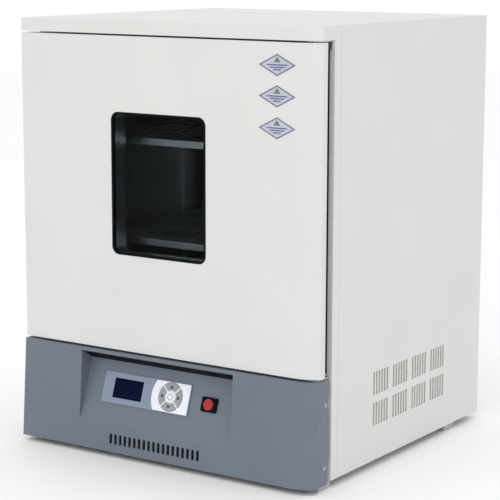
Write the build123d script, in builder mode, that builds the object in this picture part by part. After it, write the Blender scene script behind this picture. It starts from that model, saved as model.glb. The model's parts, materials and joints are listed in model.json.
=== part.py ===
from build123d import *
from math import atan2, cos, degrees, hypot, sin, sqrt
import os

# Benchtop laboratory incubator: a sheet-steel cabinet with an insulated stainless chamber, a
# windowed door hinged on its right, and a moulded control panel below the door.
# Millimetres. +X right, -Y front, +Z up. The origin is on the bench, below the cabinet's centre.

# ---- driving dimensions ------------------------------------------------------------------
HALF_W = 290.0            # half of the cabinet's width
FRONT_Y = -269.0          # front face of the door and of the hood
FLANGE_Y = FRONT_Y + 46   # front face of the cabinet's flange
FRAME_BACK_Y = FRONT_Y + 65
BACK_Y = 285.0            # rear edge of the cabinet's side walls
SEAM = 0.5                # visible joint between the front frame and the cabinet's wrap
CABINET_Z = 12.0          # lower edge of the side walls, which is the height of the feet
TOP_Z = 720.0
SHEET = 1.2               # sheet steel
FIT = 0.3                 # gap between pieces that only lie beside each other

CORNER_X = 250.0          # the front bends back from here to the right side
CORNER_DROP = 14.0        # how far it has gone back at the side

HOOD_Z = 698.5            # lower face of the hood over the door
DOOR_TOP_Z = 695.5
DOOR_Z = 181.0            # lower edge of the door
DOOR_SKIN_DEPTH = 26.0
DOOR_PAN_Y = FRONT_Y + 34  # rear face of the door's raised inner pan
PANEL_TOP_Z = 177.5
PANEL_Z = 9.0             # lower edge of the control panel
PANEL_TOP_Y = FRONT_Y - 4     # the panel leans forward towards its lower edge
PANEL_FOOT_Y = FRONT_Y - 16
PANEL_BACK_Y = FRONT_Y + 36
PANEL_WALL = 3.0
RECESS_WALL = 3.7          # wall behind the sloping control face

CHAMBER_HALF_W = 222.0
CHAMBER_Z = (238.0, 660.0)
CHAMBER_Y = (FLANGE_Y + 10, FRONT_Y + 455)
LINER = 1.0
INSULATION = 39.0

WINDOW_CENTRE = (-9.5, 457.5)
WINDOW_SIZE = (187.0, 233.0)
WINDOW_RADIUS = 14.0

HINGE_X = 272.0
HINGE_Y = FRONT_Y + 18
PIN_RADIUS = 3.0
RUNNING_GAP = 0.05        # radial clearance of shafts and pins

FAN_CENTRE = (0.0, 449.0)
SHAFT_RADIUS = 5.0

SHELF_Z = {"lower_shelf": 358.0, "upper_shelf": 525.5}
SHELF_Y = (FRONT_Y + 72, FRONT_Y + 405)
SHELF_HALF_W = 211.0
POST_Y = {"front": FRONT_Y + 103, "rear": FRONT_Y + 365}

FOOT_SIZE = (30.0, 36.0)
FOOT_X = 271.5
FOOT_Y = {"front": FRONT_Y + 34, "rear": FRONT_Y + 453}

# Control recess: a wedge-shaped hollow, open to the front. In the YZ plane it runs from the
# upper lip to the valley, and down the sloping control face to the lower lip.
RECESS_X = (-167.0, 139.0)
RECESS_LIP = (FRONT_Y - 4.5, 172.4)
RECESS_VALLEY = (FRONT_Y + 22, 155.0)
RECESS_FOOT = (FRONT_Y - 12.7, 55.0)

# On the control face: X, and the distance up the slope from the lower lip.
PLATE_CENTRE = (-41.0, 61.7)
PLATE_SIZE = (176.0, 51.5)
LCD_CENTRE = (-78.0, 61.9)
LCD_SIZE = (59.0, 33.0)
KEYPAD_CENTRE = (9.3, 62.2)
KEYPAD_RADIUS = 23.4
SWITCH_CENTRE = (86.4, 60.8)
SWITCH_SIZE = (30.0, 24.0)
BUTTON_RADIUS = 9.2

slope = atan2(RECESS_VALLEY[0] - RECESS_FOOT[0], RECESS_VALLEY[1] - RECESS_FOOT[1])
control_face = Plane(
    origin=(0, *RECESS_FOOT), x_dir=(1, 0, 0), z_dir=Vector(0, -1, 0).rotate(Axis.X, -degrees(slope))
)
face_normal = Axis((0, 0, 0), control_face.z_dir)

os.makedirs("parts", exist_ok=True)


# ---- helpers -----------------------------------------------------------------------------
def save(builder, name):
    """Label a finished piece and write it as one STEP file."""
    builder.part.label = name
    export_step(builder.part, f"parts/{name}.step")


def facing_front(y):
    """The plane at depth y that faces the front: X across, Z up."""
    return Plane.XZ.offset(-y)


def plan_section(z, front_y, back_y, inset=0.0):
    """Plan outline of the front casings: square on the left, swept back on the right."""
    side = HALF_W - inset
    swept = (side, front_y + CORNER_DROP + inset)
    bend = (CORNER_X, front_y + inset)
    with BuildSketch(Plane.XY.offset(z)) as section:
        with BuildLine():
            Polyline(bend, (-side, front_y + inset), (-side, back_y), (side, back_y), swept)
            TangentArc(bend, swept, tangent=(1, 0))
        make_face()
    return section.sketch


def block(x, y, z, mode=Mode.ADD):
    """A box from its (low, high) limits along each axis, for use inside a BuildPart."""
    with Locations(((x[0] + x[1]) / 2, (y[0] + y[1]) / 2, (z[0] + z[1]) / 2)):
        Box(x[1] - x[0], y[1] - y[0], z[1] - z[0], mode=mode)


def window_outline(plane, grow=0.0):
    """The window's rounded rectangle, grown or shrunk, on a plane that faces the front."""
    with BuildSketch(plane) as outline:
        with Locations(WINDOW_CENTRE):
            RectangleRounded(
                WINDOW_SIZE[0] + 2 * grow, WINDOW_SIZE[1] + 2 * grow, WINDOW_RADIUS + grow
            )
    return outline.sketch


# ---- cabinet -----------------------------------------------------------------------------
FLANGE_WIDTH = 9.0
LOW_WIDTH = 6.0
LEG_WIDTH = 16.0
LEG_Z = 28.0              # below this the flange is LOW_WIDTH wide, beside the base pan
RAIL = 16.0               # height of the flange's rail below the mouth
MOUTH_Z = (184.0, 684.0)
SLOT_HEIGHT = 38.0
SLOT_WIDTH = 5.4
SLOT_PITCH = 8.7
SLOTS_PER_GROUP = 6
GROUP_PITCH = 65.0
ROW_PITCH = 51.5
VENT_CENTRE = (FRONT_Y + 298, 115.2)

with BuildPart() as cabinet_shell:
    height = TOP_Z - CABINET_Z
    with BuildSketch(facing_front(BACK_Y)) as wrap:
        with Locations((0, CABINET_Z)):
            Rectangle(2 * HALF_W, height, align=(Align.CENTER, Align.MIN))
            Rectangle(
                2 * (HALF_W - SHEET), height - SHEET,
                align=(Align.CENTER, Align.MIN), mode=Mode.SUBTRACT,
            )
    extrude(amount=BACK_Y - FRAME_BACK_Y - SEAM)
    # cooling slots, the same on both sides
    with BuildSketch(Plane.YZ) as vents:
        with Locations(VENT_CENTRE):
            with GridLocations(GROUP_PITCH, ROW_PITCH, 4, 2):
                with GridLocations(SLOT_PITCH, 0, SLOTS_PER_GROUP, 1):
                    RectangleRounded(SLOT_WIDTH, SLOT_HEIGHT, 0.8)
    extrude(amount=HALF_W + SHEET, both=True, mode=Mode.SUBTRACT)
save(cabinet_shell, "cabinet_shell")

# the folded frame at the front: hood over the door, side strips and the flange round the mouth
with BuildPart() as front_frame:
    with BuildSketch(facing_front(FRAME_BACK_Y)) as frame_strip:
        with Locations((0, CABINET_Z)):
            Rectangle(2 * HALF_W, height, align=(Align.CENTER, Align.MIN))
            Rectangle(
                2 * (HALF_W - SHEET), height - SHEET,
                align=(Align.CENTER, Align.MIN), mode=Mode.SUBTRACT,
            )
    extrude(amount=FRAME_BACK_Y - FLANGE_Y)
    extrude(plan_section(HOOD_Z, FRONT_Y, FLANGE_Y + SHEET), amount=TOP_Z - HOOD_Z)
    extrude(
        plan_section(HOOD_Z + SHEET, FRONT_Y, FLANGE_Y + 2 * SHEET, inset=SHEET),
        amount=TOP_Z - HOOD_Z - 2 * SHEET, mode=Mode.SUBTRACT,
    )
    with BuildSketch(facing_front(FLANGE_Y)) as flange:
        with Locations((0, CABINET_Z)):
            Rectangle(2 * HALF_W, HOOD_Z - CABINET_Z, align=(Align.CENTER, Align.MIN))
        with Locations((0, MOUTH_Z[0])):
            Rectangle(
                2 * (HALF_W - FLANGE_WIDTH), MOUTH_Z[1] - MOUTH_Z[0],
                align=(Align.CENTER, Align.MIN), mode=Mode.SUBTRACT,
            )
        with Locations((0, LEG_Z)):
            Rectangle(
                2 * (HALF_W - LEG_WIDTH), MOUTH_Z[0] - RAIL - LEG_Z,
                align=(Align.CENTER, Align.MIN), mode=Mode.SUBTRACT,
            )
        with Locations((0, CABINET_Z)):
            Rectangle(
                2 * (HALF_W - LOW_WIDTH), LEG_Z - CABINET_Z,
                align=(Align.CENTER, Align.MIN), mode=Mode.SUBTRACT,
            )
    extrude(amount=-SHEET)
save(front_frame, "front_frame")

PAN_X = 283.5
PAN_Y = (FRONT_Y + 14, BACK_Y - 3)
PAN_SHEET = 1.5
PAN_HEIGHT = 14.0

with BuildPart() as base_pan:
    block((-PAN_X, PAN_X), PAN_Y, (CABINET_Z, CABINET_Z + PAN_HEIGHT))
    block(
        (-PAN_X + PAN_SHEET, PAN_X - PAN_SHEET),
        (PAN_Y[0] + PAN_SHEET, PAN_Y[1] - PAN_SHEET),
        (CABINET_Z + PAN_SHEET, CABINET_Z + PAN_HEIGHT),
        mode=Mode.SUBTRACT,
    )
    for foot_y in FOOT_Y.values():
        with Locations((FOOT_X, foot_y, CABINET_Z), (-FOOT_X, foot_y, CABINET_Z)):
            Cylinder(PIN_RADIUS + FIT, 4 * PAN_SHEET, mode=Mode.SUBTRACT)
save(base_pan, "base_pan")

INLET_CENTRE = (200.0, 108.0)
FUSE_CENTRE = (150.0, 108.0)
INLET_BODY = (27.0, 20.0)
FUSE_RADIUS = 6.0
BACK_SHEET_Y = (BACK_Y - 2.7, BACK_Y - 1.5)
BACK_Z = (CABINET_Z + PAN_HEIGHT + FIT, TOP_Z - SHEET - FIT)
SCREW_GRID = (560.0, 320.0)
BACK_MIDDLE_Z = (BACK_Z[0] + BACK_Z[1]) / 2

with BuildPart() as back_panel:
    block((-HALF_W + SHEET + FIT, HALF_W - SHEET - FIT), BACK_SHEET_Y, BACK_Z)
    with BuildSketch(facing_front(BACK_SHEET_Y[1])) as back_cuts:
        with Locations(INLET_CENTRE):
            Rectangle(INLET_BODY[0] + FIT, INLET_BODY[1] + FIT)
        with Locations(FUSE_CENTRE):
            Circle(FUSE_RADIUS + FIT / 2)
        with Locations((-120, 108), FAN_CENTRE):
            with GridLocations(12, 0, 14, 1):
                SlotOverall(60, 4.2, rotation=90)
        with Locations((0, BACK_MIDDLE_Z)):
            with GridLocations(*SCREW_GRID, 2, 3):
                Circle(2.2)
    extrude(amount=SHEET, mode=Mode.SUBTRACT)
save(back_panel, "back_panel")

with BuildPart() as back_screws:
    with BuildSketch(facing_front(BACK_Y - 0.1)) as screw_heads:
        with Locations((0, BACK_MIDDLE_Z)):
            with GridLocations(*SCREW_GRID, 2, 3):
                Circle(4)
    extrude(amount=BACK_Y - 0.1 - BACK_SHEET_Y[1])
    with BuildSketch(facing_front(BACK_SHEET_Y[1])) as screw_shanks:
        with Locations((0, BACK_MIDDLE_Z)):
            with GridLocations(*SCREW_GRID, 2, 3):
                Circle(2)
    extrude(amount=8)
save(back_screws, "back_screws")

with BuildPart() as breaker_frame:
    edge = HALF_W - FLANGE_WIDTH - FIT
    block((-edge, edge), (FLANGE_Y, CHAMBER_Y[0]), (MOUTH_Z[0] + FIT, MOUTH_Z[1] - FIT))
    block(
        (-CHAMBER_HALF_W, CHAMBER_HALF_W), (FLANGE_Y, CHAMBER_Y[0]), CHAMBER_Z, mode=Mode.SUBTRACT
    )
save(breaker_frame, "breaker_frame")

# ---- chamber -----------------------------------------------------------------------------
HEATER_RADIUS = 85.0
HEATER_TUBE = 4.0
HEATER_LEADS = ((-20.0, FAN_CENTRE[1] - HEATER_RADIUS), (20.0, FAN_CENTRE[1] - HEATER_RADIUS))
PROBE_PLACE = (120.0, 560.0)
PROBE_RADIUS = 3.0
liner_outer_y = CHAMBER_Y[1] + LINER
insulation_back_y = liner_outer_y + INSULATION


def rear_wall_holes(plane, depth):
    """Holes for the fan shaft, the heater's leads and the probe, cut through a rear wall."""
    with BuildSketch(plane) as holes:
        with Locations(FAN_CENTRE):
            Circle(SHAFT_RADIUS + 3)
        with Locations(*HEATER_LEADS):
            Circle(HEATER_TUBE + FIT)
        with Locations(PROBE_PLACE):
            Circle(PROBE_RADIUS + FIT)
    extrude(holes.sketch, amount=depth, mode=Mode.SUBTRACT)


liner_x = (-CHAMBER_HALF_W - LINER, CHAMBER_HALF_W + LINER)
liner_z = (CHAMBER_Z[0] - LINER, CHAMBER_Z[1] + LINER)

with BuildPart() as chamber_liner:
    block(liner_x, (CHAMBER_Y[0], liner_outer_y), liner_z)
    block((-CHAMBER_HALF_W, CHAMBER_HALF_W), CHAMBER_Y, CHAMBER_Z, mode=Mode.SUBTRACT)
    rear_wall_holes(facing_front(liner_outer_y), LINER)
save(chamber_liner, "chamber_liner")

DECK_TOP_Z = 197.0
with BuildPart() as chamber_insulation:
    block(
        (liner_x[0] - INSULATION, liner_x[1] + INSULATION),
        (CHAMBER_Y[0] + FIT, insulation_back_y),
        (DECK_TOP_Z, liner_z[1] + INSULATION),
    )
    block(liner_x, (CHAMBER_Y[0], liner_outer_y), liner_z, mode=Mode.SUBTRACT)
    rear_wall_holes(facing_front(insulation_back_y), INSULATION)
save(chamber_insulation, "chamber_insulation")

DECK_SHEET = 2.0
DECK_TURN = 15.0
with BuildPart() as support_deck:
    deck_x = HALF_W - SHEET - FIT
    deck_y = (FLANGE_Y + 12, BACK_SHEET_Y[0] - FIT)
    block((-deck_x, deck_x), deck_y, (DECK_TOP_Z - DECK_TURN, DECK_TOP_Z))
    block(
        (-deck_x + DECK_SHEET, deck_x - DECK_SHEET), deck_y,
        (DECK_TOP_Z - DECK_TURN, DECK_TOP_Z - DECK_SHEET), mode=Mode.SUBTRACT,
    )
save(support_deck, "support_deck")

DUCT_HALF_W = 205.0
DUCT_Z = (258.0, 640.0)
DUCT_Y = CHAMBER_Y[1] - 40
FAN_OPENING = 75.0
DUCT_SLOT = (40.0, 6.0)
DUCT_SLOT_PITCH = (340.0, 22.0)
DUCT_SLOT_ROWS = 14
with BuildPart() as duct_cover:
    block((-DUCT_HALF_W, DUCT_HALF_W), (DUCT_Y, CHAMBER_Y[1]), DUCT_Z)
    block(
        (-DUCT_HALF_W + LINER, DUCT_HALF_W - LINER),
        (DUCT_Y + LINER, CHAMBER_Y[1]),
        (DUCT_Z[0] + LINER, DUCT_Z[1] - LINER),
        mode=Mode.SUBTRACT,
    )
    with BuildSketch(facing_front(DUCT_Y + LINER)) as duct_cuts:
        with Locations(FAN_CENTRE):
            Circle(FAN_OPENING)
            with GridLocations(*DUCT_SLOT_PITCH, 2, DUCT_SLOT_ROWS):
                SlotOverall(*DUCT_SLOT)
        with Locations(PROBE_PLACE):
            Circle(PROBE_RADIUS + FIT)
    extrude(amount=LINER, mode=Mode.SUBTRACT)
save(duct_cover, "duct_cover")

GUARD_WIRE = 2.4
GUARD_RINGS = (FAN_OPENING + 6, 64.0, 47.0, 30.0)
GUARD_HUB = 12.0
with BuildPart() as fan_guard:
    with BuildSketch(facing_front(DUCT_Y)) as guard_pattern:
        with Locations(FAN_CENTRE):
            for radius in GUARD_RINGS:
                Circle(radius)
                Circle(radius - GUARD_WIRE, mode=Mode.SUBTRACT)
            with PolarLocations(0, 4, angular_range=180, endpoint=False):
                Rectangle(2 * GUARD_RINGS[0] - GUARD_WIRE, GUARD_WIRE)
            Circle(GUARD_HUB)
    extrude(amount=GUARD_WIRE)
save(fan_guard, "fan_guard")

FAN_Y = (DUCT_Y + 8, DUCT_Y + 30)
FAN_RADIUS = 62.0
FAN_HUB = 14.0
FAN_DISC = 1.5
BLADES = 12
BLADE_SIZE = (30.0, 1.6)
BLADE_RADIUS = 44.0       # from the shaft to the middle of a blade
BLADE_TURN = 35.0
MOTOR_Y = (insulation_back_y, insulation_back_y + 42)
MOTOR_RADIUS = 38.0
MOTOR_PLATE = 90.0
SHAFT_REACH = 20.0        # how far the shaft runs into the motor
with BuildPart() as circulation_fan:
    with BuildSketch(facing_front(FAN_Y[1])) as fan_disc:
        with Locations(FAN_CENTRE):
            Circle(FAN_RADIUS)
    extrude(amount=FAN_DISC)
    with BuildSketch(facing_front(FAN_Y[1])) as hub:
        with Locations(FAN_CENTRE):
            Circle(FAN_HUB)
    extrude(amount=FAN_Y[1] - FAN_Y[0])
    with BuildSketch(facing_front(FAN_Y[1])) as blades:
        with Locations(FAN_CENTRE):
            with PolarLocations(BLADE_RADIUS, BLADES):
                Rectangle(*BLADE_SIZE, rotation=BLADE_TURN)
    extrude(amount=FAN_Y[1] - FAN_Y[0] - 2)
    with BuildSketch(facing_front(MOTOR_Y[0] + SHAFT_REACH)) as shaft:
        with Locations(FAN_CENTRE):
            Circle(SHAFT_RADIUS)
    extrude(amount=MOTOR_Y[0] + SHAFT_REACH - FAN_Y[0])
save(circulation_fan, "circulation_fan")

with BuildPart() as fan_motor:
    with BuildSketch(facing_front(MOTOR_Y[0])) as motor_plate:
        with Locations(FAN_CENTRE):
            RectangleRounded(MOTOR_PLATE, MOTOR_PLATE, 8)
    extrude(amount=-2)
    with BuildSketch(facing_front(MOTOR_Y[0])) as motor_body:
        with Locations(FAN_CENTRE):
            Circle(MOTOR_RADIUS)
    extrude(amount=MOTOR_Y[0] - MOTOR_Y[1])
    with BuildSketch(facing_front(MOTOR_Y[0])) as motor_bore:
        with Locations(FAN_CENTRE):
            Circle(SHAFT_RADIUS + RUNNING_GAP)
    extrude(amount=-SHAFT_REACH - 2, mode=Mode.SUBTRACT)
save(fan_motor, "fan_motor")

HEATER_Y = DUCT_Y + 20
with BuildPart() as heater_element:
    with Locations(Location((FAN_CENTRE[0], HEATER_Y, FAN_CENTRE[1]), (90, 0, 0))):
        Torus(hypot(HEATER_RADIUS, HEATER_LEADS[1][0]), HEATER_TUBE)
    with BuildSketch(facing_front(insulation_back_y + 6)) as leads:
        with Locations(*HEATER_LEADS):
            Circle(HEATER_TUBE - 1)
    extrude(amount=insulation_back_y + 6 - HEATER_Y)
save(heater_element, "heater_element")

with BuildPart() as temperature_probe:
    with BuildSketch(facing_front(insulation_back_y + 6)) as probe_rod:
        with Locations(PROBE_PLACE):
            Circle(PROBE_RADIUS)
    extrude(amount=insulation_back_y + 6 - DUCT_Y + 30)
    fillet(temperature_probe.edges().filter_by(GeomType.CIRCLE).sort_by(Axis.Y)[0], radius=2)
save(temperature_probe, "temperature_probe")

# ---- shelves and their supports ------------------------------------------------------------
POST_SIZE = (7.0, 16.0)
POST_Z = (CHAMBER_Z[0] + 2, CHAMBER_Z[1] - 2)
SHELF_SHEET = 1.5
SHELF_LIP = 11.0
CLIP_REACH = 10.0

for side_name, side in (("left", -1), ("right", 1)):
    for place, post_y in POST_Y.items():
        x_far = side * CHAMBER_HALF_W
        x_near = side * (CHAMBER_HALF_W - POST_SIZE[0])
        with BuildPart() as shelf_post:
            block(
                sorted((x_near, x_far)), (post_y - POST_SIZE[1] / 2, post_y + POST_SIZE[1] / 2), POST_Z
            )
            with BuildSketch(Plane.YZ.offset(x_near)) as ladder:
                with Locations((post_y, (POST_Z[0] + POST_Z[1]) / 2)):
                    with GridLocations(0, 24, 1, 17):
                        Rectangle(8, 3.2)
            extrude(amount=side * 4, mode=Mode.SUBTRACT)
        save(shelf_post, f"{place}_{side_name}_post")

with BuildPart() as shelf_clips:
    for shelf_z in SHELF_Z.values():
        for post_y in POST_Y.values():
            for side in (-1, 1):
                wall = side * (CHAMBER_HALF_W - POST_SIZE[0])
                tab_x = sorted((wall, wall - side * CLIP_REACH))
                leg_x = sorted((wall, wall - side * 1.8))
                clip_y = (post_y - 6, post_y + 6)
                block(tab_x, clip_y, (shelf_z - SHELF_SHEET - 2, shelf_z - SHELF_SHEET))
                block(leg_x, clip_y, (shelf_z - SHELF_SHEET - 12, shelf_z - SHELF_SHEET))
save(shelf_clips, "shelf_clips")

for shelf_name, shelf_z in SHELF_Z.items():
    with BuildPart() as shelf:
        block((-SHELF_HALF_W, SHELF_HALF_W), SHELF_Y, (shelf_z - SHELF_SHEET, shelf_z))
        block(
            (-SHELF_HALF_W, SHELF_HALF_W), (SHELF_Y[0], SHELF_Y[0] + SHELF_SHEET),
            (shelf_z - SHELF_LIP, shelf_z),
        )
        block(
            (-SHELF_HALF_W, SHELF_HALF_W), (SHELF_Y[1] - SHELF_SHEET, SHELF_Y[1]),
            (shelf_z - SHELF_SHEET, shelf_z + SHELF_LIP),
        )
        with BuildSketch(Plane.XY.offset(shelf_z)) as shelf_slots:
            with Locations((0, (SHELF_Y[0] + SHELF_Y[1]) / 2)):
                with GridLocations(21, 96, 18, 3):
                    SlotOverall(76, 9, rotation=90)
        extrude(amount=-SHELF_SHEET, mode=Mode.SUBTRACT)
    save(shelf, shelf_name)

# ---- control panel -------------------------------------------------------------------------
PANEL_VENTS_X = (-100.0, 76.5)
PANEL_VENTS = 19
PANEL_VENT_SIZE = (17.8, 5.8)
PANEL_VENT_Z = 31.3
SCREW_PLACES = ((FRONT_Y + 29, 138.0), (FRONT_Y + 27, 36.5))
SCREW_RADIUS = 2.0
SCREW_HEAD_RADIUS = 3.0
SCREW_HEAD = 1.6
BOARD_CENTRE = (-40.0, 58.0)
BOARD_SIZE = (160.0, 58.0)
BOARD_DEPTH = 10.4
DRIVE_SLOT = (3.8, 0.8)
SHANK_LENGTH = 7.0
BOSS_RADIUS = 3.5
BOSS_INSET = 5.0
TRIM_SLOT = 2.4
recess_width = RECESS_X[1] - RECESS_X[0]
wall_y = (RECESS_WALL - FIT) * cos(slope)
wall_z = (RECESS_WALL - FIT) * sin(slope)



def trim_section(front, back):
    """Corners of a strip along the recess's ceiling, between two distances above its surface."""
    lip = Vector(*RECESS_LIP)
    valley = Vector(*RECESS_VALLEY)
    run = (valley - lip).normalized()
    above = Vector(-run.Y, run.X)
    start = lip + run * 4
    end = valley - run * 1
    corners = (start + above * front, end + above * front, end + above * back, start + above * back)
    return [(corner.X, corner.Y) for corner in corners]


with BuildPart() as control_panel:
    loft([
        plan_section(PANEL_Z, PANEL_FOOT_Y, PANEL_BACK_Y),
        plan_section(PANEL_TOP_Z, PANEL_TOP_Y, PANEL_BACK_Y),
    ])
    loft(
        [
            plan_section(PANEL_Z - 1, PANEL_FOOT_Y, PANEL_BACK_Y + 4, inset=PANEL_WALL),
            plan_section(PANEL_TOP_Z - PANEL_WALL, PANEL_TOP_Y, PANEL_BACK_Y + 4, inset=PANEL_WALL),
        ],
        mode=Mode.SUBTRACT,
    )
    # walls behind the recess, then the recess itself
    with BuildSketch(Plane.YZ.offset(RECESS_X[0] - PANEL_WALL)) as recess_back:
        Polygon(
            (RECESS_LIP[0] + wall_y, PANEL_TOP_Z - FIT),
            (RECESS_VALLEY[0] + wall_y, RECESS_VALLEY[1] + RECESS_WALL + 1),
            (RECESS_VALLEY[0] + wall_y, RECESS_VALLEY[1] - wall_z),
            (RECESS_FOOT[0] + wall_y, RECESS_FOOT[1] - wall_z),
            (RECESS_FOOT[0] + wall_y - 5 * sin(slope), RECESS_FOOT[1] - wall_z - 5 * cos(slope)),
            align=None,
        )
    extrude(amount=recess_width + 2 * PANEL_WALL)
    with BuildSketch(Plane.YZ.offset(RECESS_X[0])) as recess:
        past_front = FRONT_Y - 24
        down = (RECESS_VALLEY[1] - RECESS_FOOT[1]) / (RECESS_VALLEY[0] - RECESS_FOOT[0])
        up = (RECESS_LIP[1] - RECESS_VALLEY[1]) / (RECESS_VALLEY[0] - RECESS_LIP[0])
        run = RECESS_VALLEY[0] - past_front
        Polygon(
            RECESS_VALLEY,
            (past_front, RECESS_VALLEY[1] - down * run),
            (past_front, RECESS_VALLEY[1] + up * run),
            align=None,
        )
    extrude(amount=recess_width, mode=Mode.SUBTRACT)
    # slot for the dark trim along the recess's ceiling
    with BuildSketch(Plane.YZ.offset(RECESS_X[0])) as trim_slot:
        Polygon(*trim_section(-1, TRIM_SLOT), align=None)
    extrude(amount=recess_width, mode=Mode.SUBTRACT)
    # switch opening and board bosses on the sloping face
    with BuildSketch(control_face) as switch_hole:
        with Locations(SWITCH_CENTRE):
            Circle(BUTTON_RADIUS + 0.8)
    extrude(amount=-2 * PANEL_WALL, mode=Mode.SUBTRACT)
    with BuildSketch(control_face.offset(-PANEL_WALL + 0.5)) as bosses:
        with Locations(BOARD_CENTRE):
            with GridLocations(BOARD_SIZE[0] - 2 * BOSS_INSET, BOARD_SIZE[1] - 2 * BOSS_INSET, 2, 2):
                Circle(BOSS_RADIUS)
    extrude(amount=-(BOARD_DEPTH - PANEL_WALL + 0.5))
    # front vents
    with BuildSketch(facing_front(FRONT_Y)) as panel_vents:
        vent_pitch = (PANEL_VENTS_X[1] - PANEL_VENTS_X[0]) / (PANEL_VENTS - 1)
        with Locations(((PANEL_VENTS_X[0] + PANEL_VENTS_X[1]) / 2, PANEL_VENT_Z)):
            with GridLocations(vent_pitch, 0, PANEL_VENTS, 1):
                SlotOverall(*PANEL_VENT_SIZE, rotation=90)
    extrude(amount=20, mode=Mode.SUBTRACT)
    # countersunk holes for the side screws
    with BuildSketch(Plane.YZ) as screw_holes:
        with Locations(*SCREW_PLACES):
            Circle(SCREW_RADIUS)
    extrude(amount=HALF_W + 1, both=True, mode=Mode.SUBTRACT)
    for side in (-1, 1):
        with BuildSketch(Plane.YZ.offset(side * HALF_W)) as head_seats:
            with Locations(*SCREW_PLACES):
                Circle(SCREW_HEAD_RADIUS)
        extrude(amount=-side * SCREW_HEAD, mode=Mode.SUBTRACT)
save(control_panel, "control_panel")

with BuildPart() as recess_trim:
    with BuildSketch(Plane.YZ.offset(RECESS_X[0])) as trim_strip:
        Polygon(*trim_section(0.4, TRIM_SLOT), align=None)
    extrude(amount=recess_width)
save(recess_trim, "recess_trim")

with BuildPart() as panel_screws:
    for side in (-1, 1):
        with BuildSketch(Plane.YZ.offset(side * HALF_W)) as heads:
            with Locations(*SCREW_PLACES):
                Circle(SCREW_HEAD_RADIUS)
                Rectangle(DRIVE_SLOT[0], DRIVE_SLOT[1], mode=Mode.SUBTRACT)
                Rectangle(DRIVE_SLOT[1], DRIVE_SLOT[0], mode=Mode.SUBTRACT)
        extrude(amount=-side * SCREW_HEAD / 2)
        with BuildSketch(Plane.YZ.offset(side * (HALF_W - SCREW_HEAD / 2))) as head_bases:
            with Locations(*SCREW_PLACES):
                Circle(SCREW_HEAD_RADIUS)
        extrude(amount=-side * SCREW_HEAD / 2)
        with BuildSketch(Plane.YZ.offset(side * (HALF_W - SCREW_HEAD))) as shanks:
            with Locations(*SCREW_PLACES):
                Circle(SCREW_RADIUS)
        extrude(amount=-side * SHANK_LENGTH)
save(panel_screws, "panel_screws")

BRACKET_X = (280.0, 283.0, HALF_W - PANEL_WALL)
with BuildPart() as panel_brackets:
    for side in (-1, 1):
        for screw_y, screw_z in SCREW_PLACES:
            bracket_z = (screw_z - 8, screw_z + 8)
            plate_x = sorted((side * BRACKET_X[1], side * BRACKET_X[2]))
            arm_x = sorted((side * BRACKET_X[0], side * BRACKET_X[1]))
            block(plate_x, (screw_y - 8, screw_y + 6), bracket_z)
            block(arm_x, (screw_y - 8, FLANGE_Y), bracket_z)
    with BuildSketch(Plane.YZ) as bracket_holes:
        with Locations(*SCREW_PLACES):
            Circle(SCREW_RADIUS)
    extrude(amount=HALF_W, both=True, mode=Mode.SUBTRACT)
save(panel_brackets, "panel_brackets")

PLATE_THICK = 2.0
PAD_THICK = 0.8
PAD_LEFT_X = -28.8
PAD_ARC_RISE = 7.0
KEY_GAP = 3.0
KEY_HUB_RADIUS = 8.5
KEY_CLEARANCE = 0.3
WEB_RING = 1.8            # ring of the surround between the centre key and the four others
KEY_Z = (0.8, 3.8)
keypad_hole = KEYPAD_RADIUS + 0.6
plate_right_x = PLATE_CENTRE[0] + PLATE_SIZE[0] / 2
plate_v = (PLATE_CENTRE[1] - PLATE_SIZE[1] / 2, PLATE_CENTRE[1] + PLATE_SIZE[1] / 2)

with BuildPart() as control_plate:
    with BuildSketch(control_face) as plate_outline:
        with Locations(PLATE_CENTRE):
            RectangleRounded(*PLATE_SIZE, 3)
        with Locations(LCD_CENTRE):
            Rectangle(LCD_SIZE[0] + FIT, LCD_SIZE[1] + FIT, mode=Mode.SUBTRACT)
        with Locations(KEYPAD_CENTRE):
            Circle(keypad_hole, mode=Mode.SUBTRACT)
    extrude(amount=PLATE_THICK)
save(control_plate, "control_plate")

with BuildPart() as lcd_window:
    with BuildSketch(control_face) as lcd_outline:
        with Locations(LCD_CENTRE):
            Rectangle(*LCD_SIZE)
    extrude(amount=PLATE_THICK - 0.3)
save(lcd_window, "lcd_window")

with BuildPart() as keypad_surround:
    with BuildSketch(control_face.offset(PLATE_THICK)) as pad_outline:
        with BuildLine():
            pad_top = (PAD_LEFT_X + PAD_ARC_RISE, plate_v[1] - 1)
            pad_bottom = (PAD_LEFT_X + PAD_ARC_RISE, plate_v[0] + 1)
            ThreePointArc(pad_top, (PAD_LEFT_X, PLATE_CENTRE[1]), pad_bottom)
            Polyline(
                pad_bottom, (plate_right_x - 1, pad_bottom[1]), (plate_right_x - 1, pad_top[1]), pad_top
            )
        make_face()
        with Locations(KEYPAD_CENTRE):
            Circle(keypad_hole, mode=Mode.SUBTRACT)
            Circle(KEY_HUB_RADIUS + KEY_CLEARANCE + WEB_RING)
            for turn in (45, 135):
                Rectangle(2 * keypad_hole + 1, KEY_GAP - 2 * KEY_CLEARANCE, rotation=turn)
            Circle(KEY_HUB_RADIUS + KEY_CLEARANCE, mode=Mode.SUBTRACT)
    extrude(amount=PAD_THICK)
save(keypad_surround, "keypad_surround")

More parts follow.
